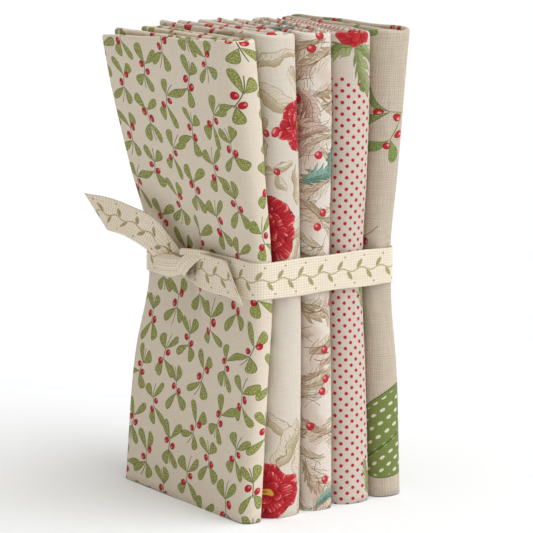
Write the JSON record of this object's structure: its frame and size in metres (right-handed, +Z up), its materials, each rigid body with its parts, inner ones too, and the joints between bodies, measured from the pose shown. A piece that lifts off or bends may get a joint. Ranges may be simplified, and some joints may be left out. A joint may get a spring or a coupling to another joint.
{
  "type": "fat quarter bundle",
  "caption": "Folded cotton quilting pieces standing side by side, tied round the middle with a knotted woven tape.",
  "frame": {"origin": "middle of the foot of the box round the whole bundle, on the surface it stands on", "axes": "+Z up from the cut edges to the top folds, +X through the stack from the front piece to the back one, +Y from the rounded folds to the open ends"},
  "size_m": [0.1471, 0.1516, 0.2754],
  "materials": {
    "cotton_sprig": "printed plain-weave cotton, cream with green sprigs and red berries",
    "cotton_bloom": "printed plain-weave cotton, cream with large red blooms",
    "cotton_foliage": "printed plain-weave cotton, cream with tan foliage",
    "cotton_dot": "printed plain-weave cotton, cream with small red dots",
    "cotton_linen": "printed slubby plain-weave cotton, taupe",
    "woven_tape": "basket-woven cotton tape, unbleached"
  },
  "bodies": {
    "root": {"fat_quarter_sprig": "cotton_sprig", "fat_quarter_bloom": "cotton_bloom", "fat_quarter_foliage": "cotton_foliage", "fat_quarter_dot": "cotton_dot", "fat_quarter_linen": "cotton_linen", "tape": "woven_tape"}
  },
  "joints": []
}
